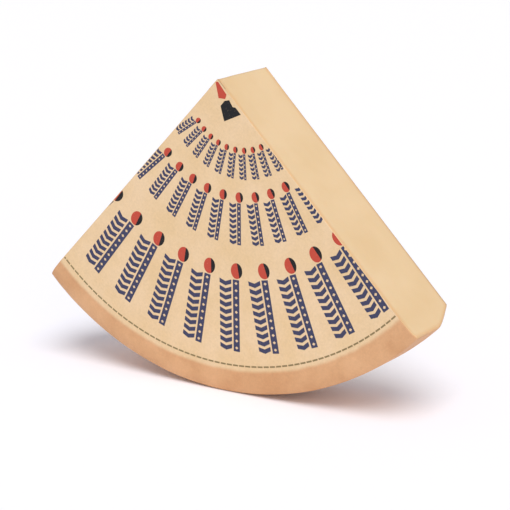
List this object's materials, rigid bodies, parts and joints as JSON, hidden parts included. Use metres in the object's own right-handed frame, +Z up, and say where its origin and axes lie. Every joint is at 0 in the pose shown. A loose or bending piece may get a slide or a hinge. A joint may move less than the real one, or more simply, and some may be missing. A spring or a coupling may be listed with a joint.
{
  "type": "quarter wheel of hard cheese",
  "caption": "Large wedge of hard cheese cut from a wheel, standing tip up on its curved rind, with two flat cut faces and a bulging rind.",
  "frame": {"origin": "on the ground under the tip, midway between the wheel's two flat faces: the bottom centre of the bounding box", "axes": "+Z up; +Y along the wheel's axis, away from the printed face; +X across the wedge, to the right when looking at the printed face"},
  "size_m": [0.4536, 0.087, 0.3249],
  "materials": {
    "cheese": "dull, slightly waxy"
  },
  "bodies": {
    "root": {"cheese_wedge": "cheese"}
  },
  "joints": []
}
